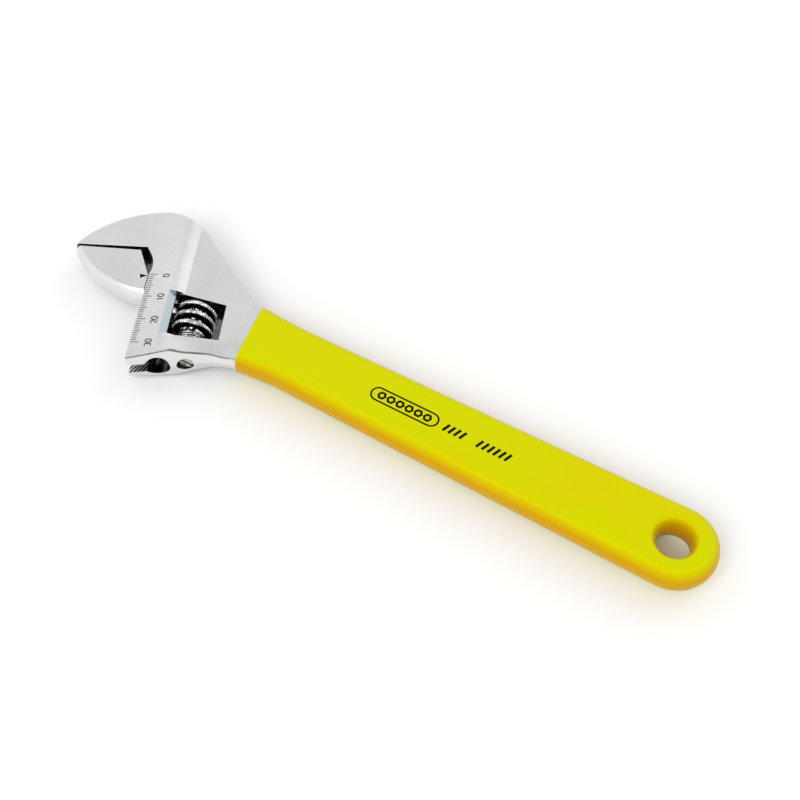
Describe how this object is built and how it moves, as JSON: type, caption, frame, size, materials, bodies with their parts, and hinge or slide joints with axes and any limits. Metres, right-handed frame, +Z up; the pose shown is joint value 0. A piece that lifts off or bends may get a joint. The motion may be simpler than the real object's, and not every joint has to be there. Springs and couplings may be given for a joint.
{
  "type": "adjustable wrench",
  "caption": "Adjustable wrench with a worm-driven movable jaw, an opening scale on the head, and a dipped vinyl grip with a hanging hole.",
  "frame": {"origin": "on the surface the wrench lies on, under the middle of the whole wrench", "axes": "+X along the handle from the jaws to the hanging hole, +Z up, square to the head's flat sides"},
  "size_m": [0.2466, 0.0636, 0.0149],
  "materials": {
    "satin_chrome": "satin chrome plate, lightly brushed",
    "polished_chrome": "bright chrome plate",
    "plain_steel": "turned steel",
    "yellow_vinyl": "glossy dipped vinyl"
  },
  "bodies": {
    "wrench": {"body_forging": "satin_chrome", "grip_sleeve": "yellow_vinyl", "worm_pin": "plain_steel", "worm_spring": "plain_steel"},
    "jaw": {"movable_jaw": "satin_chrome"},
    "worm": {"worm": "polished_chrome"}
  },
  "joints": [
    {"name": "worm_spin", "type": "hinge", "parent": "wrench", "child": "worm", "pos_m": [-0.06563, -0.0061, 0.00745], "axis": [0.4289, -0.9033, 0], "range_deg": [-66.5, 2547]},
    {"name": "jaw_slide", "type": "slide", "parent": "wrench", "child": "jaw", "axis": [0.4289, -0.9033, 0], "range_m": [-0.00076, 0.029]}
  ],
  "couplings": [
    {"joint": "worm_spin", "follows": "jaw_slide", "rad_per_m": 1532.5}
  ]
}
